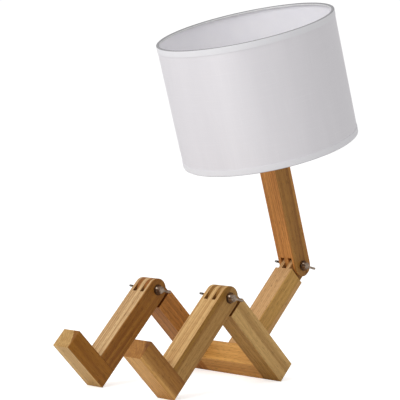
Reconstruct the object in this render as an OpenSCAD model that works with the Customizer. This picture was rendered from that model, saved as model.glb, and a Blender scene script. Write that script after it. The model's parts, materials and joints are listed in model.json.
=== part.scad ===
// Desk lamp in the shape of a sitting robot: square wooden blocks joined by
// finger knuckles that wing screws clamp, with a drum shade as its head.
// Millimetres. X runs across the legs, -Y is the way the robot faces, Z is up.
// The origin lies on the table, under the middle of the whole lamp.

/* [Wooden blocks] */
// Side of the square blocks
wood_w = 21; // [17:0.5:24]
// Knee pivot to the hip end of a thigh
thigh_reach = 106.5; // [85:0.5:115]
// Knee pivot to the sole of a foot
calf_reach = 107; // [98:0.5:130]
// Upper face of the crossbar to the waist pivot
torso_reach = 107; // [80:0.5:130]
// Waist pivot to the top end of the neck
neck_reach = 110; // [95:0.5:140]
// Distance between the middles of the two legs
leg_spacing = 92; // [80:1:120]
// Length of a foot along its sole
foot_l = 57; // [42:0.5:70]
// Thickness of a foot
foot_t = 19; // [16:0.5:24]

/* [Pose at rest] */
// Rise of the thighs from the hip to the knee, in degrees
thigh_rise = 45; // [40:0.5:48]
// Forward lean of the neck from upright, in degrees
neck_lean = 17.5; // [0:0.5:25]

/* [Finger knuckles] */
// Width of the middle finger
mid_finger_w = 5; // [4:0.1:6]
// Width of the slot on either side of the middle finger
slot_w = 4.4; // [3.8:0.1:4.8]
// Side play of a finger in its slot
side_play = 0.15; // [0.1:0.05:0.3]
// Room between a round finger end and the end of its slot in a calf or in the neck
slot_relief = 0.7; // [0.4:0.1:3]
// Room between a round finger end and the wood behind it in a thigh or in the torso
shoulder_relief = 2.4; // [1:0.1:3.5]
// Slant of a calf's slot ends towards its thigh, so that the knee can fold further, in degrees
knee_slot_slant = 5; // [4:0.5:10]

/* [Dowels] */
// Diameter of the glued wooden dowels
dowel_d = 6; // [4:0.5:6.5]
// Length of a dowel
dowel_l = 20; // [14:1:20]
// Room for glue around and beyond a dowel
glue_gap = 0.05; // [0.02:0.01:0.1]
// Distance between the two dowels of a pair
dowel_pitch = 10; // [8:0.5:10.5]

/* [Wing screws] */
// Diameter of the screw
screw_d = 4; // [3:0.5:5]
// Radial play of the screw in the wood and in its nut
pivot_play = 0.08; // [0.04:0.01:0.1]
// Length of screw that stands out past the nut
screw_end_l = 2.6; // [1:0.2:6]
// Outer diameter of a washer
washer_d = 10; // [9:0.5:12]
// Thickness of a washer
washer_t = 0.8; // [0.5:0.1:1.5]
// Hub diameter of the wing nut and of the screw's winged head
hub_d = 8; // [7.5:0.5:10]
// Hub diameter at its top
hub_top_d = 6.4; // [5.6:0.2:8]
// Height of the hub
hub_h = 4.6; // [3.5:0.1:6]
// Distance from tip to tip of the wings
wing_span = 19; // [17:0.5:26]
// Height of the wings above the washer
wing_h = 8.4; // [7:0.1:12]
// Thickness of a wing
wing_t = 1.8; // [1.2:0.1:2.5]
// Radius of a wing's round tip
wing_tip_r = 2.2; // [1.6:0.1:3]
// Slope of the knee wings, in degrees
knee_wing_slope = 18; // [0:1:90]
// Slope of the waist wings, in degrees
waist_wing_slope = 32; // [0:1:90]

/* [Cord way] */
// Diameter of the cord's way down the neck
cord_bore_d = 7; // [6:0.5:8]
// Waist pivot to the middle of the cord bush
bush_z = 70; // [50:1:80]
// Inner diameter of the cord bush
bush_bore_d = 6.5; // [5:0.5:7]
// Outer diameter of the bush in the wood
bush_d = 10; // [9:0.5:12]
// Depth of the bush in the wood
bush_l = 6; // [4:0.5:7]
// Diameter of the bush's collar
collar_d = 14; // [12:0.5:16]
// Thickness of the bush's collar
collar_t = 1.4; // [1:0.1:2]

/* [Nipple and lock nut] */
// Diameter of the threaded nipple
nipple_d = 10; // [8:1:12]
// Wall of the nipple
nipple_wall = 1; // [0.8:0.1:1.5]
// Depth of the nipple in the neck
nipple_depth = 20; // [12:1:26]
// Thickness of the lock nut
lock_nut_t = 3; // [2:0.5:4]
// Width of the lock nut across its flats
lock_nut_w = 14; // [13:0.5:17]

/* [Lampholder] */
// Diameter of the lampholder's threaded skirt
skirt_d = 39.8; // [38:0.2:42]
// Height of the cap below the skirt
holder_cap_h = 20; // [16:1:26]
// Wall of the cap and of the skirt
holder_wall = 2; // [1.5:0.1:2.5]
// Diameter of the boss that takes the nipple
boss_d = 20; // [17:0.5:22]
// Thickness of the boss
boss_h = 7; // [5:0.5:8]
// Height over which the cap widens above its boss
cap_flare_h = 5; // [3:0.5:7]
// Height of the slant under the cap's straight rim
cap_slant_h = 2; // [1:0.5:3]
// Length of the skirt above the shade's seat
skirt_l = 30; // [26:1:36]
// Thickness of the shoulder that the shade sits on
shoulder_t = 4; // [3:0.5:6]
// Diameter of the shoulder
shoulder_d = 47; // [45:0.5:50]
// Thickness of the core that carries the contacts
core_t = 7; // [5:0.5:9]
// Outer diameter of the screw shell
shell_d = 27.8; // [27.6:0.1:28.6]
// Sheet thickness of the screw shell and of the contact
contact_t = 0.3; // [0.2:0.05:0.5]
// Length of the screw shell
shell_l = 22; // [18:1:25]
// Rise of the centre contact above the core
contact_rise = 4; // [3:0.5:5]

/* [Shade] */
// Outer diameter of the shade
shade_d = 170; // [150:1:190]
// Height of the shade
shade_h = 120; // [105:1:150]
// Height of the fixing ring above the shade's lower edge
carrier_drop = 17; // [10:0.5:24]
// Thickness of the edge tapes
tape_t = 0.35; // [0.2:0.05:0.5]
// Height of the edge tapes
tape_h = 6; // [4:0.5:9]
// Thickness of the fabric
fabric_t = 0.4; // [0.3:0.05:0.6]
// Thickness of the plastic backing
backing_t = 0.35; // [0.25:0.05:0.6]
// Diameter of the frame wire
wire_d = 2; // [1.6:0.1:3]
// Number of carrier arms
arms = 3; // [3:1:4]
// Width of the carrier's fixing ring
carrier_ring_w = 4.4; // [3.5:0.1:6]
// Thickness of the carrier's fixing ring
carrier_ring_t = 1.5; // [1:0.1:2]
// Height of the clamp ring that holds the shade
clamp_ring_h = 7.5; // [5:0.5:12]
// Number of finger grips around the clamp ring
grips = 16; // [8:2:24]

/* [Bulb] */
// Diameter of the bulb's globe
globe_d = 45; // [40:1:52]
// Height of the globe's middle above the screw cap
globe_rise = 30; // [26:1:36]
// Wall of the globe
globe_wall = 1.2; // [0.8:0.1:1.6]
// Diameter of the bulb's screw cap
bulb_cap_d = 26.2; // [26:0.1:26.5]
// Length of the bulb's screw cap
bulb_cap_l = 18; // [15:0.5:20]
// Wall of the screw cap
bulb_cap_wall = 0.3; // [0.2:0.05:0.5]
// Height of the housing between screw cap and globe
housing_h = 16; // [12:0.5:18]
// Wall of the housing at the screw cap
housing_wall = 1.4; // [1:0.1:2]

/* [Hidden] */
$fn = 96;
cut = 1;                // how far a cutting shape runs past the face it opens
half_w = wood_w / 2;
half_legs = leg_spacing / 2;

// Places in the plane across X, as [y, z], counted from the hip's lower edge.
rise_c = cos(thigh_rise);
rise_s = sin(thigh_rise);
knee_0 = [half_w * rise_s - thigh_reach * rise_c, half_w * rise_c + thigh_reach * rise_s];
// The calf slopes so that the heel's lower edge also stands on the table.
calf_fall = asin(knee_0.y / norm([calf_reach, half_w])) - atan2(half_w, calf_reach);
crossbar_0 = knee_0 + half_w * [rise_s, rise_c] + (thigh_reach - half_w) * [rise_c, -rise_s];
waist_0 = crossbar_0 + torso_reach * [rise_s, rise_c];
toe_y = knee_0.x - (foot_l - half_w) * sin(calf_fall) - calf_reach * cos(calf_fall);
holder_z = neck_reach + lock_nut_t;
seat_z = holder_z + holder_cap_h + shoulder_t;
shade_z = seat_z - carrier_drop;
back_y = waist_0.x - shade_z * sin(neck_lean) + shade_d / 2 * cos(neck_lean);
middle = [(toe_y + back_y) / 2, 0];
knee = knee_0 - middle;
waist = waist_0 - middle;

// Knuckles and wings
wing_root_r = hub_top_d / 2 * 0.75;             // where a wing starts, inside the hub
wing_root_z = [hub_h * 0.2, hub_h * 0.95];      // lower and upper edge of a wing there
flank_turn = 40;                                // slant of the wing's two long edges
slot_end = half_w + slot_relief;
shoulder_end = half_w + shoulder_relief;
mid_finger_x = mid_finger_w / 2;
slot_x = mid_finger_x + slot_w;
screw_r = screw_d / 2;
pivot_r = screw_r + pivot_play;
dowel_r = dowel_d / 2;
ankle_z = calf_reach - foot_t;
wing_seat = half_w + washer_t;

// Lampholder, in the neck's frame
nipple_r = nipple_d / 2;
skirt_r = skirt_d / 2;
skirt_top = seat_z + skirt_l;
core_z = seat_z - shoulder_t;
contact_z = core_z + core_t;
shell_r = shell_d / 2;
cap_bore_r = skirt_r - holder_wall;
screw_play = 0.1;       // radial play of the coarse threads
ring_play = 0.7;        // radial play of the shade's fixing ring on the skirt
ring_bore_r = skirt_r + ring_play;
shell_floor_r = shell_r * 0.62;
recess = 0.5;           // how far a sunk screw ends short of the face or hole around it

// Shade, in the neck's frame
shade_r = shade_d / 2;
fabric_r = shade_r - tape_t;
backing_r = fabric_r - fabric_t;
lining_r = backing_r - backing_t;
wire_r = wire_d / 2;
wire_ring_r = lining_r - wire_r;
wall_h = shade_h - 2 * tape_t;
low_wire_z = shade_z + tape_t + wire_r;
high_wire_z = shade_z + shade_h - tape_t - wire_r;
carrier_r = ring_bore_r + carrier_ring_w;
weld = 0.5;             // how far an arm runs into the fixing ring

// Bulb, in the neck's frame
tip_z = contact_z + contact_rise;
tip_r = 4.5;
tip_t = 1;
insulator_h = 4;
insulator_z = tip_z + tip_t;
cap_z = insulator_z + insulator_h;
housing_z = cap_z + bulb_cap_l;
globe_z = housing_z + globe_rise;
globe_r = globe_d / 2;
globe_cut = housing_z + housing_h;
globe_foot_r = sqrt(pow(globe_r, 2) - pow(globe_z - globe_cut, 2));
bulb_cap_r = bulb_cap_d / 2;
plate_play = 0.1;
plate_r = sqrt(pow(globe_r - globe_wall, 2) - pow(globe_z - globe_cut, 2)) - plate_play;
plate_t = 1.5;
plate_ledge = 1.5;      // width of the housing's ledge under the LED plate
housing_lip = 0.6;      // how far the housing stands out past the cap and the globe
housing_foot_h = 4;     // height of the housing's straight foot, inside
driver_foot = 5;        // how far above the cap's floor the driver board starts

WOOD = [0.76, 0.57, 0.34];
DOWEL = [0.82, 0.68, 0.46];
ZINC = [0.55, 0.55, 0.56];
BRASS = [0.78, 0.62, 0.30];
BLACK = [0.10, 0.10, 0.10];
CREAM = [0.90, 0.88, 0.84];
SHADE = [0.88, 0.87, 0.90];

// ---- frames: each puts a pivot or the neck's foot at its place -------------

module at_thigh(side) {
  translate([side * half_legs, knee.x, knee.y]) rotate([-90 - thigh_rise, 0, 0]) children();
}

module at_calf(side) {
  translate([side * half_legs, knee.x, knee.y]) rotate([90 + calf_fall, 0, 0]) children();
}

module at_torso() {
  translate([0, waist.x, waist.y]) rotate([180 - thigh_rise, 0, 0]) children();
}

module at_neck() {
  translate([0, waist.x, waist.y]) rotate([neck_lean, 0, 0]) children();
}

// Wings lie in a plane that rises towards the front by slope degrees.
module at_pivot(place, x, slope) {
  translate([x, place.x, place.y]) rotate([-slope, 0, 0]) children();
}

// ---- wooden blocks ----------------------------------------------------------

// A block along +Z whose end is round about the pivot at the origin
module round_end_block(length) {
  difference() {
    union() {
      translate([-half_w, -half_w, 0]) cube([wood_w, wood_w, length]);
      rotate([0, 90, 0]) cylinder(r = half_w, h = wood_w, center = true);
    }
    rotate([0, 90, 0]) cylinder(r = pivot_r, h = wood_w + 2 * cut, center = true);
  }
}

// Removes the knuckle's wood between x1 and x2; the cut ends at the given height on the
// block's +Y face, and slants deeper from there towards its -Y face
module finger_gap(x1, x2, end, slant = 0) {
  reach = half_w + cut;
  fall = tan(slant);
  translate([x1, 0, 0]) rotate([90, 0, 90]) linear_extrude(x2 - x1) polygon([
    [-reach, -reach], [reach, -reach], [reach, end - cut * fall],
    [-reach, end + (wood_w + cut) * fall]
  ]);
}

// Three fingers: two slots, one either side of the middle finger
module three_finger_block(length, slant = 0) {
  difference() {
    round_end_block(length);
    finger_gap(mid_finger_x, slot_x, slot_end, slant);
    finger_gap(-slot_x, -mid_finger_x, slot_end, slant);
  }
}

// Two fingers: they run in the slots of the three-finger block
module two_finger_block(length) {
  difference() {
    round_end_block(length);
    finger_gap(-mid_finger_x - side_play, mid_finger_x + side_play, shoulder_end);
    finger_gap(slot_x - side_play, half_w + cut, shoulder_end);
    finger_gap(-half_w - cut, -slot_x + side_play, shoulder_end);
  }
}

// A pair of dowels along Z, half above and half below the joint face at z = 0
module dowel_pair(r = dowel_r, extra = 0) {
  for (s = [-1, 1])
    translate([s * dowel_pitch / 2, 0, 0])
      cylinder(r = r, h = dowel_l + 2 * extra, center = true);
}

module dowel_holes() {
  dowel_pair(dowel_r + glue_gap, 0.5);
}

// Puts a dowel pair at the joint between a thigh and the crossbar
module at_hip_joint(side) {
  at_thigh(side)
    translate([-side * half_w, 0, thigh_reach - half_w])
      rotate([0, 90, 0]) rotate([0, 0, 45]) children();
}

module at_torso_joint() {
  at_torso() translate([0, 0, torso_reach]) children();
}

module at_ankle(side) {
  at_calf(side) translate([0, 0, ankle_z]) children();
}

module thigh(side) {
  color(WOOD) difference() {
    at_thigh(side) two_finger_block(thigh_reach);
    at_hip_joint(side) dowel_holes();
  }
}

module calf(side) {
  color(WOOD) difference() {
    at_calf(side) three_finger_block(ankle_z, knee_slot_slant);
    at_ankle(side) dowel_holes();
  }
}

module foot(side) {
  color(WOOD) difference() {
    at_ankle(side) translate([-half_w, -half_w, 0]) cube([wood_w, foot_l, foot_t]);
    at_ankle(side) dowel_holes();
  }
}

module hip_crossbar() {
  bar_l = leg_spacing - wood_w;
  color(WOOD) difference() {
    at_thigh(0)
      translate([-bar_l / 2, -half_w, thigh_reach - wood_w]) cube([bar_l, wood_w, wood_w]);
    for (side = [-1, 1]) at_hip_joint(side) dowel_holes();
    at_torso_joint() dowel_holes();
  }
}

module torso() {
  color(WOOD) difference() {
    at_torso() two_finger_block(torso_reach);
    at_torso_joint() dowel_holes();
  }
}

module neck() {
  color(WOOD) difference() {
    at_neck() three_finger_block(neck_reach);
    at_neck() {
      translate([0, 0, neck_reach - nipple_depth])
        cylinder(r = nipple_r + glue_gap, h = nipple_depth + cut);
      translate([0, 0, bush_z]) cylinder(d = cord_bore_d, h = neck_reach - bush_z);
      translate([0, 0, bush_z]) rotate([-90, 0, 0]) {
        cylinder(d = cord_bore_d, h = half_w);
        translate([0, 0, half_w - bush_l]) cylinder(d = bush_d + 2 * glue_gap, h = bush_l + cut);
      }
    }
  }
}

module left_thigh() { thigh(1); }
module right_thigh() { thigh(-1); }
module left_calf() { calf(1); }
module right_calf() { calf(-1); }
module left_foot() { foot(1); }
module right_foot() { foot(-1); }
module left_hip_dowels() { color(DOWEL) at_hip_joint(1) dowel_pair(); }
module right_hip_dowels() { color(DOWEL) at_hip_joint(-1) dowel_pair(); }
module torso_dowels() { color(DOWEL) at_torso_joint() dowel_pair(); }
module left_ankle_dowels() { color(DOWEL) at_ankle(1) dowel_pair(); }
module right_ankle_dowels() { color(DOWEL) at_ankle(-1) dowel_pair(); }

// ---- wing screws, washers and wing nuts -------------------------------------

// Outline of one wing, from the hub out to its round tip
module wing_outline() {
  tip = [wing_span / 2 - wing_tip_r, wing_h - wing_tip_r];
  flank = [cos(flank_turn), -sin(flank_turn)] * wing_tip_r;
  translate(tip) circle(r = wing_tip_r);
  polygon([
    [wing_root_r, wing_root_z[0]], tip + flank, tip - flank, [wing_root_r, wing_root_z[1]]
  ]);
}

// Hub and wings, along +Z from the washer; the wings lie along Y
module winged_hub() {
  cylinder(d1 = hub_d, d2 = hub_top_d, h = hub_h);
  for (turn = [90, -90])
    rotate([0, 0, turn]) rotate([90, 0, 0])
      linear_extrude(wing_t, center = true) wing_outline();
}

module wing_screw(place, x, slope) {
  color(ZINC) at_pivot(place, x, slope) {
    translate([wing_seat, 0, 0]) rotate([0, 90, 0]) winged_hub();
    translate([-wing_seat - hub_h - screw_end_l, 0, 0])
      rotate([0, 90, 0]) cylinder(r = screw_r, h = 2 * wing_seat + hub_h + screw_end_l);
  }
}

module washers(place, x) {
  color(ZINC) for (side = [-1, 1])
    at_pivot(place, x, 0) translate([side * (half_w + washer_t / 2), 0, 0])
      rotate([0, 90, 0]) difference() {
        cylinder(d = washer_d, h = washer_t, center = true);
        cylinder(r = pivot_r, h = washer_t + 2 * cut, center = true);
      }
}

module wing_nut(place, x, slope) {
  color(ZINC) at_pivot(place, x, slope)
    translate([-wing_seat, 0, 0]) rotate([0, -90, 0]) difference() {
      winged_hub();
      translate([0, 0, -cut]) cylinder(r = pivot_r, h = hub_h + 2 * cut);
    }
}

module left_knee_wing_screw() { wing_screw(knee, half_legs, knee_wing_slope); }
module left_knee_washers() { washers(knee, half_legs); }
module left_knee_wing_nut() { wing_nut(knee, half_legs, knee_wing_slope); }
module right_knee_wing_screw() { wing_screw(knee, -half_legs, knee_wing_slope); }
module right_knee_washers() { washers(knee, -half_legs); }
module right_knee_wing_nut() { wing_nut(knee, -half_legs, knee_wing_slope); }
module waist_wing_screw() { wing_screw(waist, 0, waist_wing_slope); }
module waist_washers() { washers(waist, 0); }
module waist_wing_nut() { wing_nut(waist, 0, waist_wing_slope); }

// ---- cord bush, nipple and lock nut ------------------------------------------

module cord_bush() {
  color(BLACK) at_neck()
    translate([0, half_w - bush_l, bush_z]) rotate([-90, 0, 0]) difference() {
      union() {
        cylinder(d = bush_d, h = bush_l);
        translate([0, 0, bush_l]) cylinder(d = collar_d, h = collar_t);
      }
      translate([0, 0, -cut]) cylinder(d = bush_bore_d, h = bush_l + collar_t + 2 * cut);
    }
}

module threaded_nipple() {
  color(ZINC) at_neck() translate([0, 0, neck_reach - nipple_depth]) difference() {
    cylinder(r = nipple_r, h = nipple_depth + lock_nut_t + boss_h);
    translate([0, 0, -cut])
      cylinder(r = nipple_r - nipple_wall, h = nipple_depth + lock_nut_t + boss_h + 2 * cut);
  }
}

module lock_nut() {
  color(ZINC) at_neck() translate([0, 0, neck_reach]) difference() {
    cylinder(r = lock_nut_w / sqrt(3), h = lock_nut_t, $fn = 6);
    translate([0, 0, -cut]) cylinder(r = nipple_r + glue_gap, h = lock_nut_t + 2 * cut);
  }
}

// ---- lampholder --------------------------------------------------------------

lock_screw_r = 1.25;
lock_screw_z = boss_h / 4;

module lampholder_cap() {
  bore = nipple_r + glue_gap;
  boss_r = boss_d / 2;
  flare_z = boss_h + cap_flare_h;
  rim_z = flare_z + cap_slant_h;
  color(CREAM) at_neck() translate([0, 0, holder_z]) difference() {
    rotate_extrude() polygon([
      [bore, 0], [boss_r, 0], [boss_r, boss_h / 2], [skirt_r - cap_slant_h / 2, flare_z],
      [skirt_r, rim_z], [skirt_r, holder_cap_h], [cap_bore_r, holder_cap_h],
      [cap_bore_r, rim_z], [boss_r, boss_h], [bore, boss_h]
    ]);
    translate([0, 0, lock_screw_z]) rotate([0, 90, 0])
      cylinder(r = lock_screw_r + glue_gap, h = boss_r + cut);
  }
}

// Grub screw that stops the lampholder from turning on its nipple
module nipple_lock_screw() {
  color(ZINC) at_neck() translate([nipple_r + glue_gap, 0, holder_z + lock_screw_z])
    rotate([0, 90, 0]) cylinder(r = lock_screw_r, h = boss_d / 2 - nipple_r - recess);
}

module lampholder_body() {
  color(CREAM) at_neck() translate([0, 0, core_z]) rotate_extrude() polygon([
    [cap_bore_r, 0], [shoulder_d / 2, 0], [shoulder_d / 2, shoulder_t],
    [skirt_r, shoulder_t], [skirt_r, shoulder_t + skirt_l],
    [cap_bore_r - 1, shoulder_t + skirt_l], [cap_bore_r - 1, core_t], [cap_bore_r, core_t]
  ]);
}

terminal_x = 8;
terminal_w = 6;
terminal_h = 5;
core_hole_r = 1.6;

module lampholder_core() {
  color(CREAM) at_neck() difference() {
    union() {
      translate([0, 0, core_z]) cylinder(r = cap_bore_r - glue_gap, h = core_t);
      for (s = [-1, 1])
        translate([s * terminal_x - terminal_w / 2, -terminal_w / 2, core_z - terminal_h])
          cube([terminal_w, terminal_w, terminal_h]);
    }
    for (s = [-1, 1])
      translate([s * terminal_x, 0, core_z - terminal_h - cut])
        cylinder(r = core_hole_r, h = terminal_h + core_t / 2 + cut);
  }
}

module terminal_screws() {
  head_h = 1.6;
  head_d = 5.6;
  color(BRASS) at_neck() for (s = [-1, 1])
    translate([s * terminal_x, 0, core_z - terminal_h]) {
      translate([0, 0, -head_h]) cylinder(d = head_d, h = head_h);
      cylinder(r = core_hole_r - glue_gap, h = terminal_h + core_t / 2 - recess);
    }
}

// The brass shell that the bulb screws into, with a floor ring on the core
module screw_shell() {
  color(BRASS) at_neck() translate([0, 0, contact_z]) rotate_extrude() polygon([
    [shell_floor_r, 0], [shell_r, 0], [shell_r, shell_l], [shell_r - contact_t, shell_l],
    [shell_r - contact_t, contact_t], [shell_floor_r, contact_t]
  ]);
}

// Bent spring strip under the bulb's tip
module centre_contact() {
  w = 5;
  l = 7;
  color(BRASS) at_neck() translate([-l / 2, w / 2, contact_z]) rotate([90, 0, 0])
    linear_extrude(w) polygon([
      [0, 0], [l, 0], [l, contact_t], [contact_t * 2, contact_t],
      [contact_t * 2, contact_rise - contact_t], [l, contact_rise - contact_t],
      [l, contact_rise], [0, contact_rise]
    ]);
}

// ---- shade -------------------------------------------------------------------

module shade_clamp_ring() {
  r = skirt_r + holder_wall * 2;
  grip_r = 1.6;
  grip_out = 0.6;
  flange_t = 1.5;
  color(CREAM) at_neck() translate([0, 0, seat_z + carrier_ring_t]) difference() {
    cylinder(r = r, h = clamp_ring_h);
    translate([0, 0, -cut]) cylinder(r = skirt_r + screw_play, h = clamp_ring_h + 2 * cut);
    for (i = [0 : grips - 1])
      rotate([0, 0, (i + 0.5) * 360 / grips]) translate([r + grip_out, 0, flange_t])
        cylinder(r = grip_r, h = clamp_ring_h);
  }
}

// Fixing ring on the lampholder's shoulder, with arms that reach the lower wire ring
module shade_carrier() {
  arm_z = seat_z + carrier_ring_t / 2;
  inner = carrier_r - weld;
  run = wire_ring_r - inner;
  drop = arm_z - low_wire_z;
  color(ZINC) at_neck() {
    translate([0, 0, seat_z]) difference() {
      cylinder(r = carrier_r, h = carrier_ring_t);
      translate([0, 0, -cut]) cylinder(r = ring_bore_r, h = carrier_ring_t + 2 * cut);
    }
    for (i = [0 : arms - 1])
      rotate([0, 0, 90 + i * 360 / arms]) translate([inner, 0, arm_z])
        rotate([0, 90 + atan2(drop, run), 0])
          cylinder(d = wire_d, h = norm([run, drop]) - wire_r - glue_gap);
  }
}

module wire_ring() {
  rotate_extrude() translate([wire_ring_r, 0]) circle(r = wire_r, $fn = 32);
}

module bottom_wire_ring() {
  color(ZINC) at_neck() translate([0, 0, low_wire_z]) wire_ring();
}

module top_wire_ring() {
  color(ZINC) at_neck() translate([0, 0, high_wire_z]) wire_ring();
}

// A thin upright tube from radius r1 out to r2
module wall(r1, r2) {
  at_neck() translate([0, 0, shade_z + tape_t]) difference() {
    cylinder(r = r2, h = wall_h, $fn = 180);
    translate([0, 0, -cut]) cylinder(r = r1, h = wall_h + 2 * cut, $fn = 180);
  }
}

module shade_backing() { color(SHADE) wall(lining_r, backing_r); }
module shade_fabric() { color(SHADE) wall(backing_r, fabric_r); }

// Tape that covers the outside edge and folds in under the wire
module edge_tape() {
  inner = wire_ring_r - wire_r * 0.8;
  rotate_extrude($fn = 180) polygon([
    [inner, 0], [shade_r, 0], [shade_r, tape_h], [fabric_r, tape_h],
    [fabric_r, tape_t], [inner, tape_t]
  ]);
}

module bottom_edge_tape() {
  color(SHADE) at_neck() translate([0, 0, shade_z]) edge_tape();
}

module top_edge_tape() {
  color(SHADE) at_neck() translate([0, 0, shade_z + shade_h]) mirror([0, 0, 1]) edge_tape();
}

// ---- bulb --------------------------------------------------------------------

module bulb_globe() {
  color(SHADE) at_neck() difference() {
    translate([0, 0, globe_z]) sphere(r = globe_r);
    translate([0, 0, globe_z]) sphere(r = globe_r - globe_wall);
    translate([0, 0, globe_cut - globe_d]) cylinder(r = globe_d, h = globe_d);
  }
}

module bulb_housing() {
  foot_r = bulb_cap_r - housing_wall;
  color(CREAM) at_neck() translate([0, 0, housing_z]) rotate_extrude() polygon([
    [foot_r, 0], [bulb_cap_r + housing_lip, 0], [bulb_cap_r + housing_wall, housing_foot_h],
    [globe_foot_r + housing_lip, housing_h], [plate_r - plate_ledge, housing_h],
    [foot_r, housing_foot_h]
  ]);
}

module bulb_led_plate() {
  color(ZINC) at_neck() translate([0, 0, globe_cut]) cylinder(r = plate_r, h = plate_t);
}

// Circuit board that stands in the housing, from the cap up to the LED plate
module bulb_driver() {
  board_w = bulb_cap_d * 0.6;
  board_t = 1.6;
  color(BRASS) at_neck() translate([-board_w / 2, -board_t / 2, cap_z + driver_foot])
    cube([board_w, board_t, globe_cut - cap_z - driver_foot]);
}

module bulb_cap() {
  color(BRASS) at_neck() translate([0, 0, cap_z]) difference() {
    cylinder(r = bulb_cap_r, h = bulb_cap_l);
    translate([0, 0, bulb_cap_wall]) cylinder(r = bulb_cap_r - bulb_cap_wall, h = bulb_cap_l);
    translate([0, 0, -cut]) cylinder(r = tip_r + 2, h = bulb_cap_wall + 2 * cut);
  }
}

module bulb_insulator() {
  color(BLACK) at_neck() translate([0, 0, insulator_z]) difference() {
    cylinder(r1 = tip_r + 1, r2 = bulb_cap_r - 1, h = insulator_h);
    translate([0, 0, -cut]) cylinder(r = 1, h = insulator_h + 2 * cut);
  }
}

module bulb_tip() {
  color(ZINC) at_neck() translate([0, 0, tip_z]) cylinder(r = tip_r, h = tip_t);
}

hip_crossbar();
left_thigh();
right_thigh();
left_hip_dowels();
right_hip_dowels();
torso();
torso_dowels();
left_calf();
left_foot();
left_ankle_dowels();
right_calf();
right_foot();
right_ankle_dowels();
neck();
left_knee_wing_screw();
left_knee_washers();
left_knee_wing_nut();
right_knee_wing_screw();
right_knee_washers();
right_knee_wing_nut();
waist_wing_screw();
waist_washers();
waist_wing_nut();
cord_bush();
threaded_nipple();
lock_nut();
lampholder_cap();
nipple_lock_screw();
lampholder_body();
lampholder_core();
screw_shell();
centre_contact();
terminal_screws();
shade_clamp_ring();
shade_carrier();
bottom_wire_ring();
top_wire_ring();
shade_backing();
shade_fabric();
top_edge_tape();
bottom_edge_tape();
bulb_globe();
bulb_housing();
bulb_led_plate();
bulb_driver();
bulb_cap();
bulb_insulator();
bulb_tip();
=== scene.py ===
# %% [markdown]
# # A desk lamp that sits like a robot
# Square hardwood blocks make the legs, the torso and the neck, and a drum shade is the head.
# The construction is loaded as a fixed frame, in metres: X runs across the legs, -Y is the
# way the robot faces and Z is up. This notebook only dresses it: each cell takes one kind of
# piece, models what a maker would see up close, and gives it a finish made of shader nodes.

# %% Load the frame
import json
import math

import bpy
from mathutils import Matrix, Vector


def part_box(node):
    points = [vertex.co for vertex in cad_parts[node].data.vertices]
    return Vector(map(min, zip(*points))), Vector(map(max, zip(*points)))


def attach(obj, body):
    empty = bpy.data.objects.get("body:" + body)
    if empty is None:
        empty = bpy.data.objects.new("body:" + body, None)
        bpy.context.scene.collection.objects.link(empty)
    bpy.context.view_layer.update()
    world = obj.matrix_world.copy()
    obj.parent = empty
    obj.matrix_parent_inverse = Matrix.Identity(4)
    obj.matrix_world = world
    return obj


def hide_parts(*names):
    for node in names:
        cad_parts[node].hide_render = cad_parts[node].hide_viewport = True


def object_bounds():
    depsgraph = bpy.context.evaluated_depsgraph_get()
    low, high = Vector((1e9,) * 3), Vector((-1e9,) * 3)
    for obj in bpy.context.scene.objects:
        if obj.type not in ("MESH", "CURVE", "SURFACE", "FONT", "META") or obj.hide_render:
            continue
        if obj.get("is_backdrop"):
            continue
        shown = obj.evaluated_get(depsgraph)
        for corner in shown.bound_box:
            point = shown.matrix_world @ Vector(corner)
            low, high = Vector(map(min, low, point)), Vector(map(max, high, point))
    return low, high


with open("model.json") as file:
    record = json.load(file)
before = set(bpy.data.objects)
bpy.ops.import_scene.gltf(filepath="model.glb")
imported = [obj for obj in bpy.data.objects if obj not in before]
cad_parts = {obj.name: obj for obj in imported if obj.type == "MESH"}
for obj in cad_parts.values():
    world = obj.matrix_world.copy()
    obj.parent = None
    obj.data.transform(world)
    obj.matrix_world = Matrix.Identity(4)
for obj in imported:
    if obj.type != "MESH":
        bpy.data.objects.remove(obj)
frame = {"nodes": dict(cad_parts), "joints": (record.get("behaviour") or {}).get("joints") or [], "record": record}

cad_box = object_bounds()
record = frame["record"]
MM = 0.001
body_of = {node: body for body, nodes in record["behaviour"]["bodies"].items() for node in nodes}

# %% [markdown]
# ## The camera
# The lamp is seen from a metre and a half away through a long lens, so that its edges stay
# nearly parallel. A long lens flatters a product, because the parts that are near don't
# swell. The place and the turn are plain numbers, since a camera has no shape of its own
# that they could be worked out from.

# %% Camera
# lens and sensor in millimetres, place in metres, turns in degrees
LENS = 143.8
SENSOR = 36
EYE = (1.024989, -1.059477, 0.246679)
LOOKS_DOWN = 3.154
TURNED_LEFT = 44.711
camera_data = bpy.data.cameras.new("product_camera")
camera_data.lens = LENS
camera_data.sensor_width = SENSOR
camera = bpy.data.objects.new("product_camera", camera_data)
camera.location = EYE
camera.rotation_euler = (math.radians(90 - LOOKS_DOWN), 0, math.radians(TURNED_LEFT))
bpy.context.collection.objects.link(camera)
bpy.context.scene.camera = camera
bpy.context.scene.view_settings.view_transform = "Standard"
print("camera stands", round(camera.location.length, 2), "m from the lamp")

# %% [markdown]
# ## Building materials from nodes
# A shader is a graph, and a graph is quicker to read as nested calls than as clicks. These
# helpers add one node each, and feed its inputs either with a plain value or with another
# node's output. Colours are written as a paint chart gives them, from 0 to 255, and turned
# into the linear values that a renderer adds up.

# %% Node helpers
def rgb(red, green, blue):
    """A screen colour as linear red, green, blue and full alpha."""
    def linear(value):
        share = value / 255
        return share / 12.92 if share <= 0.04045 else ((share + 0.055) / 1.055) ** 2.4
    return (linear(red), linear(green), linear(blue), 1)


def feed(tree, socket, source):
    """Links an output to an input, or sets the input's value."""
    if isinstance(source, bpy.types.NodeSocket):
        tree.links.new(source, socket)
    else:
        socket.default_value = source


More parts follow.
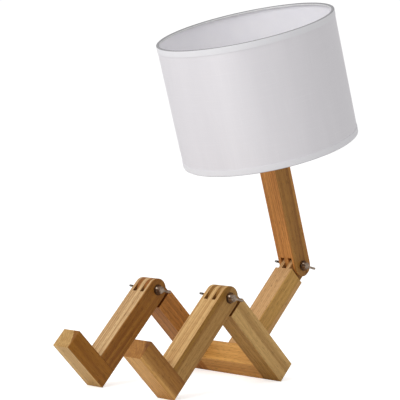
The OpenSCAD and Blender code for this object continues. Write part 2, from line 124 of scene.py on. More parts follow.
def add_node(tree, kind, inputs=None, **settings):
    """A new node with its settings, fed by name or by place."""
    made = tree.nodes.new(kind)
    for name, value in settings.items():
        setattr(made, name, value)
    for key, source in (inputs or {}).items():
        feed(tree, made.inputs[key], source)
    return made


def calculate(tree, operation, *values, clamp=False):
    """One step of arithmetic on numbers."""
    step = add_node(tree, "ShaderNodeMath", dict(enumerate(values)), operation=operation)
    step.use_clamp = clamp
    return step.outputs[0]


def remap(tree, value, low, high, to_low=0.0, to_high=1.0):
    """Stretches the range low..high to another one, with soft ends."""
    step = add_node(tree, "ShaderNodeMapRange", {0: value, 1: low, 2: high, 3: to_low, 4: to_high})
    step.interpolation_type = "SMOOTHSTEP"
    return step.outputs[0]


def stretch(tree, vector, scale):
    """Multiplies a place by one factor per axis."""
    step = add_node(tree, "ShaderNodeVectorMath", {0: vector, 1: scale}, operation="MULTIPLY")
    return step.outputs[0]


def noise(tree, vector, detail=2.0, roughness=0.5):
    """Cloudy noise, about one cloud per unit of the vector."""
    sources = {"Vector": vector, "Scale": 1.0, "Detail": detail, "Roughness": roughness}
    return add_node(tree, "ShaderNodeTexNoise", sources).outputs[0]


def blend(tree, share, low, high, kind="MIX"):
    """Mixes two colours by a share from 0 to 1."""
    step = tree.nodes.new("ShaderNodeMix")
    step.data_type, step.blend_type = "RGBA", kind
    for place, source in ((0, share), (6, low), (7, high)):
        feed(tree, step.inputs[place], source)
    return step.outputs[2]


print("node helpers are ready")

# %% [markdown]
# ## Groups and materials
# An effect that several materials share, such as the grain of wood, is built once as a node
# group with named inputs and outputs, and each material uses it with values of its own. The
# Principled shader stays in the material. A bump lets fine relief catch the light without a
# single extra face.

# %% Group and material helpers
def new_group(name, inputs, outputs):
    """A shader node group with named inputs and outputs; returns it with its two ends."""
    tree = bpy.data.node_groups.new(name, "ShaderNodeTree")
    kinds = {"float": "NodeSocketFloat", "vector": "NodeSocketVector"}
    for label, kind, value in inputs:
        socket = tree.interface.new_socket(label, in_out="INPUT", socket_type=kinds[kind])
        if value is not None:
            socket.default_value = value
    for label, kind in outputs:
        tree.interface.new_socket(label, in_out="OUTPUT", socket_type=kinds[kind])
    return tree, tree.nodes.new("NodeGroupInput").outputs, tree.nodes.new("NodeGroupOutput").inputs


def use_group(tree, group, inputs):
    """Places a node group in a material and returns its outputs."""
    return add_node(tree, "ShaderNodeGroup", inputs, node_tree=group).outputs


def new_material(name):
    """An empty node material; returns it with its tree and its Principled shader."""
    material = bpy.data.materials.new(name)
    material.use_nodes = True
    return material, material.node_tree, material.node_tree.nodes["Principled BSDF"]


def adjust(shader, settings):
    """Sets a shader's inputs to plain values."""
    for label, value in settings.items():
        shader.inputs[label].default_value = value


def bump(tree, shader, height, distance, strength):
    """Raises the surface by a height from 0 to 1 times a distance in metres."""
    step = add_node(tree, "ShaderNodeBump", {"Height": height, "Distance": distance, "Strength": strength})
    feed(tree, shader.inputs["Normal"], step.outputs[0])


print("groups and materials can be made")

# %% [markdown]
# ## The table and the world
# A product of pale wood and white cloth is shown on a plain white sweep. The floor is nearly
# white paint, and where the camera looks at it directly it gets a little light of its own,
# so that it ends in pure white and still keeps the lamp's soft shadow. The world does the
# same: white to the eye, but only a plain grey level as a source of light and in reflections.

# %% Table and world
WHITE = (1, 1, 1, 1)
PAPER = (0.9, 0.9, 0.9, 1)
WORLD_LEVEL = 0.6
WORLD_SEEN = 1.04
FLOOR_SIZE = 12
FLOOR_GLOW = 0.6


def seen_directly(tree):
    """1 for rays that the eye sends out, also through glass."""
    path = tree.nodes.new("ShaderNodeLightPath").outputs
    return calculate(tree, "MAXIMUM", path["Is Camera Ray"], path["Is Transmission Ray"])


world = bpy.data.worlds.new("white_studio")
world.use_nodes = True
sky = world.node_tree
strength = remap(sky, seen_directly(sky), 0.0, 1.0, WORLD_LEVEL, WORLD_SEEN)
adjust(sky.nodes["Background"], {"Color": WHITE})
feed(sky, sky.nodes["Background"].inputs["Strength"], strength)
bpy.context.scene.world = world

bpy.ops.mesh.primitive_plane_add(size=FLOOR_SIZE, location=(0, 0, 0))
table = bpy.context.object
table.name = "table_top"
paper, tree, shader = new_material("white_paper")
adjust(shader, {"Base Color": PAPER, "Roughness": 0.9, "Specular IOR Level": 0.1, "Emission Color": WHITE})
glow = calculate(tree, "MULTIPLY", seen_directly(tree), FLOOR_GLOW)
feed(tree, shader.inputs["Emission Strength"], glow)
table.data.materials.append(paper)
table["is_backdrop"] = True
print("the table is", FLOOR_SIZE, "m wide")

# %% [markdown]
# ## One large softbox
# The wider a lamp is, the softer its shadows get. This one is as wide as a window and hangs
# high in front of the robot, to the left of the camera. The sides that are turned away from
# it stay a step darker than the fronts, and that step makes the forms read.

# %% Softbox
KEY_POWER = 10.5
KEY_SIZE = 1.1
KEY_DISTANCE = 1.6
KEY_AZIMUTH = math.radians(-5)
KEY_HEIGHT = math.radians(38)
KEY_AIM = Vector((0, 0, 0.17))
key_data = bpy.data.lights.new("key_softbox", "AREA")
key_data.shape = "DISK"
key_data.size = KEY_SIZE
key_data.energy = KEY_POWER
key = bpy.data.objects.new("key_softbox", key_data)
towards = Vector((
    math.sin(KEY_AZIMUTH) * math.cos(KEY_HEIGHT),
    -math.cos(KEY_AZIMUTH) * math.cos(KEY_HEIGHT),
    math.sin(KEY_HEIGHT),
))
key.location = towards * KEY_DISTANCE + KEY_AIM
key.rotation_euler = towards.to_track_quat("Z", "Y").to_euler()
bpy.context.collection.objects.link(key)
print("the softbox is", KEY_SIZE, "m wide and hangs", KEY_DISTANCE, "m away")

# %% [markdown]
# ## Modelling helpers
# An operator acts on whatever is selected, so each step starts by picking one object and,
# in edit mode, all of its mesh. A node's mesh comes as loose triangles, so a piece that
# starts from one first gets its doubles merged and its flat faces made whole again.

# %% Modelling helpers
WELD = 0.001 * MM


def pick(piece):
    """Makes one object the only selected one and the active one."""
    bpy.ops.object.select_all(action="DESELECT")
    piece.select_set(True)
    bpy.context.view_layer.objects.active = piece


def edit_mesh(piece):
    """Goes into edit mode with all of the piece selected."""
    pick(piece)
    bpy.ops.object.mode_set(mode="EDIT")
    bpy.ops.mesh.select_all(action="SELECT")


def object_mode():
    """Leaves edit mode."""
    bpy.ops.object.mode_set(mode="OBJECT")


def merged_copy(node, name):
    """A new object from a node's mesh, with its loose triangles joined into clean faces."""
    piece = bpy.data.objects.new(name, frame["nodes"][node].data.copy())
    piece.data.materials.clear()
    bpy.context.collection.objects.link(piece)
    edit_mesh(piece)
    bpy.ops.mesh.remove_doubles(threshold=WELD)
    bpy.ops.mesh.customdata_custom_splitnormals_clear()
    bpy.ops.mesh.dissolve_limited(angle_limit=math.radians(0.5))
    object_mode()
    return piece


def modify(piece, kind, **settings):
    """Adds a modifier and applies it."""
    pick(piece)
    modifier = piece.modifiers.new(kind.lower(), kind)
    for name, value in settings.items():
        setattr(modifier, name, value)
    bpy.ops.object.modifier_apply(modifier=modifier.name)


def smooth_shading(piece, angle=40):
    """Smooth faces with sharp creases, and normals that follow the larger faces."""
    pick(piece)
    bpy.ops.object.shade_smooth_by_angle(angle=math.radians(angle))
    modify(piece, "WEIGHTED_NORMAL", keep_sharp=True)


print("modelling helpers are ready")

# %% [markdown]
# ## Taking a node's place
# A finished piece stands for the nodes of the frame that it replaces: they are hidden, and it
# moves with the same body. A node whose shape is right already stays, and only gets a better
# material.

# %% Dressing helpers
def dress(piece, material):
    """Gives a piece its only material."""
    piece.data.materials.clear()
    piece.data.materials.append(material)


def stand_for(piece, *nodes):
    """Puts the piece in the place of nodes of the frame."""
    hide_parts(*nodes)
    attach(piece, body_of[nodes[0]])


def dress_nodes(material, *nodes):
    """Gives nodes whose shape is right already a better material."""
    for node in nodes:
        for material_slot in frame["nodes"][node].material_slots:
            material_slot.material = material


# %% [markdown]
# ## Easing an edge
# No sawn block keeps a knife edge: it is rubbed down with sandpaper before the varnish. A
# bevel with three segments gives that round. Beveling every edge would spoil the round
# knuckles, so only edges sharper than 35 degrees are taken. The strip that the bevel makes
# stays selected, and is written down as an attribute named worn: a material can then be a
# little paler and smoother where hands and sandpaper have been.

# %% Ease the edges
def ease(piece, width, sharpness=35):
    """Rounds the sharp edges and marks the middle of each round as worn."""
    edit_mesh(piece)
    bpy.ops.mesh.select_mode(type="EDGE")
    bpy.ops.mesh.select_all(action="DESELECT")
    bpy.ops.mesh.edges_select_sharp(sharpness=math.radians(sharpness))
    bpy.ops.mesh.bevel(offset=width, segments=3, affect="EDGES", clamp_overlap=False)
    object_mode()
    mesh = piece.data
    flat = set()
    for face in mesh.polygons:
        if not face.select:
            flat.update(face.vertices)
    worn = mesh.attributes.new("worn", "FLOAT", "POINT")
    for vertex in mesh.vertices:
        worn.data[vertex.index].value = 0.0 if vertex.index in flat else 1.0
    smooth_shading(piece)


print("edges can be eased")

# %% [markdown]
# ## Sawn hardwood
# A block is cut from a trunk, so its grain is one solid pattern that all six faces share:
# stripes along the sides and arcs on the end. That is how it is made here too. The place in
# the block is measured from the trunk's heart, with Z along the grain. The distance from the
# heart, divided by the width of a year ring, gives the rings, each with a slow pale part and
# a quick dark one. Long noise adds streaks and fibres, and short dark dashes are the pores.
# One zone of the trunk, between two distances from the heart, is darker than the rest, and
# some of its darkness stays beyond it. The blocks use this zone partly as painted shade: they
# set it where their side faces are turned away from the light.

# %% Hardwood node group
# noise clouds per metre: twice across the grain, then along it
DRIFT_CLOUDS = (45, 45, 7)
STREAK_CLOUDS = (260, 260, 5)
FIBRE_CLOUDS = (1300, 1300, 22)
PORE_CLOUDS = (3200, 3200, 160)
RAGGED = 3 * MM
ZONE_FADE = 2 * MM


def from_heart(tree, place):
    """How far a place is from the trunk's heart, which runs along Z."""
    flat = stretch(tree, place, (1, 1, 0))
    return add_node(tree, "ShaderNodeVectorMath", {0: flat}, operation="LENGTH").outputs[1]


def build_hardwood():
    tree, given, out = new_group(
        "Sawn hardwood",
        [("Place", "vector", None), ("Ring width", "float", 2.4 * MM), ("Wander", "float", 5 * MM),
         ("Dark from", "float", 40 * MM), ("Dark to", "float", 46 * MM), ("Soft edge", "float", 0.6 * MM),
         ("Beyond", "float", 0.25)],
        [("Rings", "float"), ("Streaks", "float"), ("Fibres", "float"), ("Pores", "float"),
         ("Dark wood and painted shade", "float")],
    )
    place = given["Place"]
    drift = noise(tree, stretch(tree, place, DRIFT_CLOUDS), detail=1.5)
    push = calculate(tree, "MULTIPLY", calculate(tree, "SUBTRACT", drift, 0.5), given["Wander"])
    spread = add_node(tree, "ShaderNodeCombineXYZ", {0: push, 1: push})
    moved = add_node(tree, "ShaderNodeVectorMath", {0: place, 1: spread.outputs[0]}).outputs[0]
    count = calculate(tree, "DIVIDE", from_heart(tree, moved), given["Ring width"])
    part = calculate(tree, "FRACT", count)
    year = calculate(tree, "FLOOR", count)
    rich = add_node(tree, "ShaderNodeTexWhiteNoise", {"W": year}, noise_dimensions="1D").outputs[0]
    rise = remap(tree, part, 0.1, 0.9)
    fall = remap(tree, part, 0.92, 1.0, 1.0, 0.0)
    ring = calculate(tree, "MULTIPLY", rise, fall)
    feed(tree, out["Rings"], calculate(tree, "MULTIPLY", ring, remap(tree, rich, 0, 1, 0.45, 1)))
    streaks = noise(tree, stretch(tree, moved, STREAK_CLOUDS), detail=3.0, roughness=0.6)
    feed(tree, out["Streaks"], remap(tree, streaks, 0.32, 0.68))
    feed(tree, out["Fibres"], noise(tree, stretch(tree, place, FIBRE_CLOUDS), detail=2.0))
    dashes = noise(tree, stretch(tree, place, PORE_CLOUDS), detail=0.0)
    feed(tree, out["Pores"], remap(tree, dashes, 0.64, 0.74))
    ragged = calculate(tree, "SUBTRACT", streaks, 0.5)
    apart = calculate(tree, "MULTIPLY_ADD", ragged, RAGGED, from_heart(tree, place))
    starts, ends = given["Dark from"], given["Dark to"]
    into = remap(tree, apart, calculate(tree, "SUBTRACT", starts, given["Soft edge"]), starts)
    beyond = remap(tree, apart, ends, calculate(tree, "ADD", ends, ZONE_FADE), 1.0, given["Beyond"])
    feed(tree, out["Dark wood and painted shade"], calculate(tree, "MULTIPLY", into, beyond))
    return tree


hardwood = build_hardwood()
print("hardwood group has", len(hardwood.nodes), "nodes")

# %% [markdown]
# ## The block in its trunk
# In each block the rings run another way, because each was cut from another place of a
# trunk. That place is given by the trunk's heart, counted from the block's middle, and the
# grain is the direction of the block's longest edge. A Mapping node set to Texture turns
# that grain onto Z, because it takes a place back through a location and a turn.

# %% Grain helpers
ACROSS_LEGS = Vector((1, 0, 0))


def grain_of(piece):
    """The direction of the longest edge of a merged block, upwards or else to +X."""
    mesh = piece.data
    spans = [mesh.vertices[e.vertices[1]].co - mesh.vertices[e.vertices[0]].co for e in mesh.edges]
    longest = max(spans, key=lambda span: span.length)
    upward = 1 if longest.z + 0.1 * longest.x > 0 else -1
    return upward * longest.normalized()


def in_trunk(tree, place, grain, middle, heart):
    """Counts places from the trunk's heart, with Z up the trunk and, on a leg, X across it."""
    turn = grain.to_track_quat("Z", "Y")
    if abs(grain.x) < 0.9:
        turn = Matrix((ACROSS_LEGS, grain.cross(ACROSS_LEGS), grain)).transposed().to_quaternion()
    return add_node(tree, "ShaderNodeMapping", {
        "Vector": place,
        "Location": middle + turn @ Vector((heart[0], heart[1], 0)) * MM,
        "Rotation": turn.to_euler(),
    }, vector_type="TEXTURE").outputs[0]


def attribute(tree, name):
    """A value that is written down on the mesh."""
    return add_node(tree, "ShaderNodeAttribute", attribute_name=name).outputs["Fac"]


print("grain helpers are ready")

# %% [markdown]
# ## One stain, nine tones
# The blocks come from one pile but not from one board: some are honey, some brown. So every
# block gets its own material from one function, with its pale and its dark tone. Where the
# saw cut across the grain, the open fibres drink more stain: the share of the face's normal
# that lies along the grain says how much darker such an end gets.

# %% Wood materials
END_TONE = (0.48, 0.35, 0.2, 1)
# painted shade for the slots' cheeks and ends
SLOT_SHADE_TONE = (0.62, 0.5, 0.36, 1)
RING_SHARE = 0.42
STREAK_SHARE = 0.5
FIBRE_SHARE = 0.5
PORE_SHARE = 0.7
PORE_SHADE = 0.45
WORN_SHARE = 0.12
GRAIN_RELIEF = 0.06 * MM
VARNISH = {"Specular IOR Level": 0.22, "Coat Weight": 0.03, "Coat Roughness": 0.3}


def stained_wood(name, grain, middle, pale, dark, heart, zone=None, zone_shade_tone=None, thirst=0.65):
    """Stained hardwood; thirst says how much of the end grain's darker tone shows."""
    material, tree, shader = new_material(name)
    space = tree.nodes.new("ShaderNodeTexCoord").outputs
    given = {"Place": in_trunk(tree, space["Object"], grain, middle, heart)}
    if zone:
        starts, ends, beyond, soft = zone
        given["Dark from"] = starts * MM
        given["Dark to"] = ends * MM
        given["Beyond"] = beyond
        given["Soft edge"] = soft * MM
    cut = use_group(tree, hardwood, given)
    worn = attribute(tree, "worn")
    facing = add_node(tree, "ShaderNodeVectorMath", {0: space["Normal"], 1: grain}, operation="DOT_PRODUCT")
    end_grain = remap(tree, calculate(tree, "ABSOLUTE", facing.outputs[1]), 0.45, 1.0)
    fibres = calculate(tree, "SUBTRACT", cut["Fibres"], 0.5)
    darker = calculate(tree, "MULTIPLY", cut["Rings"], RING_SHARE)
    darker = calculate(tree, "MULTIPLY_ADD", cut["Streaks"], STREAK_SHARE, darker)
    darker = calculate(tree, "MULTIPLY_ADD", fibres, FIBRE_SHARE, darker, clamp=True)
    colour = blend(tree, darker, pale, dark)
    pore_tone = tuple(PORE_SHADE * value for value in dark[:3]) + (1,)
    colour = blend(tree, calculate(tree, "MULTIPLY", cut["Pores"], PORE_SHARE), colour, pore_tone)
    colour = blend(tree, calculate(tree, "MULTIPLY", worn, WORN_SHARE), colour, pale)
    if zone:
        # the dark zone: partly real dark wood, partly painted shade on the side faces
        colour = blend(tree, cut["Dark wood and painted shade"], colour, zone_shade_tone + (1,), kind="MULTIPLY")
    colour = blend(tree, calculate(tree, "MULTIPLY", end_grain, thirst), colour, END_TONE, kind="MULTIPLY")
    # painted shade: the slots' cheeks and ends are darker, as shade falls in them
    colour = blend(tree, attribute(tree, "inside"), colour, SLOT_SHADE_TONE, kind="MULTIPLY")
    feed(tree, shader.inputs["Base Color"], colour)
    rough = calculate(tree, "MULTIPLY_ADD", cut["Fibres"], 0.16, 0.42)
    rough = calculate(tree, "MULTIPLY_ADD", cut["Pores"], 0.2, rough)
    feed(tree, shader.inputs["Roughness"], calculate(tree, "MULTIPLY_ADD", worn, -0.08, rough))
    adjust(shader, VARNISH)
    sunk = calculate(tree, "MULTIPLY_ADD", cut["Pores"], -0.6, cut["Fibres"])
    sunk = calculate(tree, "MULTIPLY_ADD", cut["Rings"], 0.3, sunk)
    bump(tree, shader, sunk, GRAIN_RELIEF, 0.6)
    return material


print("end grain keeps", END_TONE[:3], "of the tone")

# %% [markdown]
# ## Nine blocks
# The legs, the torso and the neck are square bars whose ends are cut into round fingers, and
# the feet and the crossbar are plain bars. The frame gives their true shape, so each block
# starts as a clean copy of its node and only gets its eased edges and its own stain. The
# heart of the trunk is far off at one side, and the dark zone is set so that it comes up on
# the side faces: it is partly a dark ring of the wood and partly painted shade on the sides
# that the light reaches less. The cheeks and ends of the slots are marked as inside, and get
# painted shade there, where shade falls between the fingers.

# %% Model the nine blocks
EASING = 0.35 * MM
HALF_BLOCK = (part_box("neck")[1].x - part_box("neck")[0].x) / 2
SLOT_DEPTH = 13.5 * MM
CHEEK_REACH = 9 * MM
END_RIM = 2 * MM


def mark_slot_shade(piece, middle, grain):
    """Marks the slots' cheeks and ends, between the fingers of a knuckle, for painted shade."""
    mesh = piece.data
    inside = mesh.attributes.new("inside", "FLOAT", "FACE")
    tops = [vertex.co.dot(grain) for vertex in mesh.vertices]
    for face in mesh.polygons:
        deep = min(face.center.dot(grain) - min(tops), max(tops) - face.center.dot(grain))
        apart = abs(face.center.x - middle.x)
        cheek = abs(face.normal.x) > 0.99 and apart < CHEEK_REACH
        end = abs(face.normal.dot(grain)) > 0.9 and END_RIM < deep < HALF_BLOCK + SLOT_DEPTH
        inside.data[face.index].value = 1.0 if cheek or end else 0.0


BLOCKS = {
    # block: (pale tone, dark tone, heart in mm from the middle,
    #         dark zone (from, to, rest, soft edge) round the heart, its tone, thirst);
    #         the dark zone is partly real dark wood and partly painted shade on the sides
    "neck": (
        rgb(226, 156, 80), rgb(169, 103, 46), (-33.5, -12.5),
        (43.4, 48, 0.25, 0.6), (0.58, 0.63, 0.55),
    ),
    "torso": (
        rgb(219, 173, 118), rgb(177, 127, 73), (-37.5, -20.5),
        (48.5, 54, 0.25, 0.6), (0.88, 0.84, 0.5),
    ),
    "hip_crossbar": (rgb(230, 173, 93), rgb(178, 115, 46), (26, -30)),
    "left_thigh": (
        rgb(214, 172, 106), rgb(167, 123, 65), (46.5, 11.5),
        (42.8, 62, 0.25, 0.6), (0.76, 0.65, 0.37),
    ),
    "right_thigh": (rgb(198, 132, 61), rgb(145, 90, 33), (-30, 26)),
    "left_calf": (
        rgb(222, 181, 121), rgb(176, 126, 69), (-34.5, -30.5),
        (49.4, 51, 0.68, 0.6), (0.52, 0.41, 0.15),
    ),
    "right_calf": (
        rgb(229, 193, 140), rgb(165, 116, 68), (-43.5, -14.5),
        (53.4, 60, 0.25, 0.6), (0.51, 0.325, 0.1),
    ),
    "left_foot": (
        rgb(227, 173, 98), rgb(180, 124, 60), (-29.5, -16.5),
        (43.5, 48, 0.8, 4), (0.5, 0.4, 0.22), 0.85,
    ),
    "right_foot": (
        rgb(223, 183, 118), rgb(177, 132, 71), (-35.5, -14.5),
        (45.6, 52, 0.25, 0.6), (0.52, 0.34, 0.11), 0.34,
    ),
}
for block, (pale, dark, heart, *habits) in BLOCKS.items():
    piece = merged_copy(block, block + "_block")
    low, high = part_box(block)
    middle = (low + high) / 2
    grain = grain_of(piece)
    wood = stained_wood(block + "_wood", grain, middle, pale, dark, heart, *habits)
    ease(piece, EASING)
    mark_slot_shade(piece, middle, grain)
    dress(piece, wood)
    stand_for(piece, block)
    print(piece.name, "has", len(piece.data.polygons), "faces")

# %% [markdown]
# ## Dowels
# The glued dowels are turned beech. They stay hidden in the joints, and keep the frame's
# shape, with the same solid wood pattern in a paler tone without stain.

# %% Dowels
BEECH_PALE = rgb(222, 190, 140)
BEECH_DARK = rgb(196, 158, 108)
BEECH_HEART = (12, 16)
SLANTED = Vector((0, 1, 1)).normalized()
DOWELS = {
    "left_hip_dowels": ACROSS_LEGS,
    "right_hip_dowels": ACROSS_LEGS,
    "torso_dowels": SLANTED,
    "left_ankle_dowels": SLANTED,
    "right_ankle_dowels": SLANTED,
}
for dowel, grain in DOWELS.items():
    low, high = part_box(dowel)
    middle = (low + high) / 2
    beech = stained_wood(dowel + "_wood", grain, middle, BEECH_PALE, BEECH_DARK, BEECH_HEART)
    dress_nodes(beech, dowel)
print("dressed", len(DOWELS), "pairs of dowels")

# %% [markdown]
# ## Metal and plastic skins
# Zinc plating is not a mirror: it is cloudy, and handling dulls it in patches. The washers
# under it are browned steel, a thin oxide that is dark and warm, and their dark tone is also
# painted shade round the hubs. Moulded plastic copies the
# fine spark-eroded skin of its mould. All of them are one group of noise at two scales, a
# broad one for patches and a fine one for grain, used with different values.

# %% Skin node group
def build_skin():
    tree, given, out = new_group(
        "Patchy skin",
        [("Place", "vector", None), ("Patch size", "float", 4 * MM), ("Grain size", "float", 0.3 * MM)],
        [("Patches", "float"), ("Grain", "float"), ("Scratches", "float")],
    )

    def scaled(size):
        step = add_node(tree, "ShaderNodeVectorMath", {0: given["Place"]}, operation="SCALE")
        feed(tree, step.inputs["Scale"], calculate(tree, "DIVIDE", 1.0, size))
        return step.outputs[0]

    patches = noise(tree, scaled(given["Patch size"]), detail=3.0, roughness=0.55)
    feed(tree, out["Patches"], remap(tree, patches, 0.3, 0.7))
    feed(tree, out["Grain"], noise(tree, scaled(given["Grain size"]), detail=1.5))
    lines = noise(tree, stretch(tree, scaled(given["Grain size"]), (0.08, 1.0, 2.2)), detail=1.0)
    feed(tree, out["Scratches"], remap(tree, lines, 0.6, 0.72))
    return tree


skin = build_skin()
print("skin group has", len(skin.nodes), "nodes")

# %% [markdown]
# ## Thirteen skins
# Each metal and plastic is one line: its tone and the tone of its patches, how rough it is
# outside and inside of them, and how high its grain stands, in millimetres.

# %% Metals and plastics
SCRATCH_ROUGHNESS = 0.08


def skinned(name, colour, patch_colour, roughness, patch_roughness, height,
            metallic=0.0, patch=4.0, grain=0.3):
    """A metal or plastic whose tone and gloss change in patches."""
    material, tree, shader = new_material(name)
    place = tree.nodes.new("ShaderNodeTexCoord").outputs["Object"]
    parts = use_group(tree, skin, {"Place": place, "Patch size": patch * MM, "Grain size": grain * MM})
    tone = blend(tree, parts["Patches"], rgb(*colour), rgb(*patch_colour))
    feed(tree, shader.inputs["Base Color"], tone)
    rough = calculate(tree, "MULTIPLY_ADD", parts["Patches"], patch_roughness - roughness, roughness)
    rough = calculate(tree, "MULTIPLY_ADD", parts["Scratches"], SCRATCH_ROUGHNESS, rough)
    feed(tree, shader.inputs["Roughness"], rough)
    adjust(shader, {"Metallic": metallic})
    bump(tree, shader, parts["Grain"], height * MM, 0.5)
    return material


zinc = skinned("zinc_plate", (192, 174, 157), (134, 113, 95), 0.28, 0.44, 0.03, metallic=1.0, patch=3.0)
dull_zinc = skinned("dull_zinc", (124, 118, 112), (86, 81, 76), 0.34, 0.5, 0.03, metallic=1.0, patch=3.0)
# the washers' dark tone is browned steel and also painted shade round the hubs
browned_steel_and_shade = skinned("browned_steel", (104, 72, 44), (72, 46, 26), 0.42, 0.56, 0.03, metallic=0.8, patch=2.0)
brass = skinned("bare_brass", (214, 172, 96), (178, 134, 66), 0.25, 0.4, 0.01, metallic=1.0)
nickel = skinned("nickel_plate", (190, 188, 182), (160, 158, 152), 0.22, 0.34, 0.01, metallic=1.0)
black_nylon = skinned("black_nylon", (38, 38, 39), (50, 50, 51), 0.5, 0.62, 0.02)
holder_white = skinned("holder_thermoplastic", (238, 236, 230), (228, 226, 219), 0.34, 0.46, 0.02, patch=9.0)
bulb_white = skinned("bulb_housing_plastic", (236, 236, 234), (230, 230, 228), 0.22, 0.3, 0.005, patch=12.0)
opal = skinned("opal_diffuser", (244, 244, 242), (238, 238, 236), 0.28, 0.36, 0.004, patch=14.0)
enamel = skinned("white_enamel", (232, 232, 232), (220, 220, 221), 0.26, 0.38, 0.02, patch=5.0, grain=0.6)
board_green = skinned("circuit_board", (40, 92, 56), (30, 74, 46), 0.4, 0.5, 0.02)
led_metal = skinned("led_plate_metal", (226, 228, 228), (212, 214, 214), 0.35, 0.45, 0.01, patch=6.0)
styrene = skinned("styrene_lining", (250, 249, 253), (247, 246, 251), 0.4, 0.5, 0.01, patch=18.0, grain=0.5)
print("skins are ready")

# %% [markdown]
# ## Pieces that only need a skin
# Inside the holder and the bulb sit plain turned and stamped parts: the brass shell and its
# contact, the bulb's cap, board and plate, and the smooth globe. A lathe or a press leaves
# just the shape that the frame has already, so these nodes stay and only get their metal or
# plastic. So do the two wire rings and the shade's lining, which is one rolled sheet.

# %% Dress the plain parts
dress_nodes(zinc, "threaded_nipple", "nipple_lock_screw")
dress_nodes(brass, "screw_shell", "centre_contact", "terminal_screws")
dress_nodes(holder_white, "lampholder_core")
dress_nodes(nickel, "bulb_cap", "bulb_tip")
dress_nodes(black_nylon, "bulb_insulator")
dress_nodes(board_green, "bulb_driver")
dress_nodes(led_metal, "bulb_led_plate")
dress_nodes(opal, "bulb_globe")
dress_nodes(enamel, "bottom_wire_ring", "top_wire_ring")
dress_nodes(styrene, "shade_backing")
print("plain parts are dressed")

# %% [markdown]
# ## Small parts with eased edges
# Washers are punched, nuts are chamfered, and moulded parts leave the mould with small
# rounds, because a sharp inner corner would tear them. The same easing does for all of
# them, from 25 degrees on and with a width that suits each one: a light line along the edge
# tells the eye that it is a made thing and not a drawing.

# %% Small parts
SMALL_PARTS = {
    # node: (material, easing in mm)
    "left_knee_washers": (browned_steel_and_shade, 0.15),
    "right_knee_washers": (browned_steel_and_shade, 0.15),
    "waist_washers": (browned_steel_and_shade, 0.15),
    "lock_nut": (zinc, 0.35),
    "cord_bush": (black_nylon, 0.4),
    "lampholder_cap": (holder_white, 0.4),
    "shade_clamp_ring": (holder_white, 0.35),
    "shade_carrier": (enamel, 0.25),
    "bulb_housing": (bulb_white, 0.2),
}
for node, (material, width) in SMALL_PARTS.items():
    piece = merged_copy(node, node + "_eased")
    ease(piece, width * MM, sharpness=25)
    dress(piece, material)
    stand_for(piece, node)
    print(piece.name, "has", len(piece.data.polygons), "faces")

# %% [markdown]
# ## The neck's own frame
# Everything above the waist leans with the neck. It is easier to model such pieces upright
# and then to lean them, so this cell finds the neck's frame: its origin is the waist pivot,
# and its Z runs up the neck. A node can be measured in that frame too.

# %% Neck frame
joint_place = {joint["name"]: Vector(joint["pos_m"]) for joint in frame["joints"]}
mount_axis = {mount["name"]: Vector(mount["axis"]) for mount in record["mounts"]}
back = mount_axis["cord_inlet"]
up_neck = ACROSS_LEGS.cross(back)
NECK = Matrix((ACROSS_LEGS, back, up_neck)).transposed().to_4x4()
NECK.translation = joint_place["waist"]
TO_NECK = NECK.inverted()


def span(node):
    """A node's lowest and highest corner in the neck's frame."""
    places = [TO_NECK @ vertex.co for vertex in frame["nodes"][node].data.vertices]
    return Vector(map(min, zip(*places))), Vector(map(max, zip(*places)))


def settle(piece, matrix):
    """Puts a piece that was modelled upright at the origin in its place, in its mesh."""
    piece.matrix_world = matrix
    pick(piece)
    bpy.ops.object.transform_apply(location=True, rotation=True, scale=True)


print("the neck leans", round(math.degrees(math.atan2(-up_neck.y, up_neck.z)), 1), "degrees")

# %% [markdown]
# ## Threads
# A thread is one small outline wound up a helix. The Screw modifier does just that: it turns
# an outline about Z and lifts it by one pitch a turn. The outline starts as a circle of a
# few vertices that are moved to its corners, and its inner side stays sunk in the core, so
# that ridge and core read as one piece. Over an eighth of a turn at each end the ridge sinks
# into the core, as a thread that a die has cut runs out.

# %% Thread helper
# the ridge's corners as shares of the pitch
CREST_FROM = 0.3
CREST_TO = 0.45
RIDGE_TO = 0.75
RIDGE_MIDDLE = 0.4
# how deep its foot is sunk, as a share of its height
SUNK_SHARE = 0.2
RUN_OUT = math.tau / 8


def outline(name, corners):
    """A closed ring of edges through corners given as (radius, height)."""
    bpy.ops.mesh.primitive_circle_add(vertices=len(corners), radius=MM)
    piece = bpy.context.object
    piece.name = name
    for vertex, (radius, height) in zip(piece.data.vertices, corners):
        vertex.co = (radius, 0, height)
    return piece


def thread(name, root, crest, pitch, low, high, steps):
    """A helical ridge from low to high, whose ends run out into the core."""
    sunk = root - SUNK_SHARE * (crest - root)
    piece = outline(name, [
        (sunk, low),
        (crest, low + CREST_FROM * pitch),
        (crest, low + CREST_TO * pitch),
        (sunk, low + RIDGE_TO * pitch),
    ])
    turns = int((high - low) / pitch - RIDGE_TO)
    modify(piece, "SCREW", axis="Z", angle=math.tau, screw_offset=pitch, steps=steps,
           render_steps=steps, iterations=turns)
    edit_mesh(piece)
    bpy.ops.mesh.select_mode(type="VERT")
    bpy.ops.mesh.select_all(action="DESELECT")
    bpy.ops.mesh.select_non_manifold(extend=False)
    bpy.ops.mesh.edge_face_add()
    bpy.ops.mesh.select_all(action="SELECT")
    bpy.ops.mesh.normals_make_consistent(inside=False)
    object_mode()
    for vertex in piece.data.vertices:
        wound = (vertex.co.z - low) / pitch * math.tau
        left = (turns * pitch - (vertex.co.z - low) + RIDGE_MIDDLE * pitch) / pitch * math.tau
        share = max(0.0, min(1.0, wound / RUN_OUT, left / RUN_OUT))
        flat = Vector((vertex.co.x, vertex.co.y))
        longer = flat.length - sunk
        flat *= (sunk + longer * share) / flat.length
        vertex.co.x, vertex.co.y = flat
    return piece


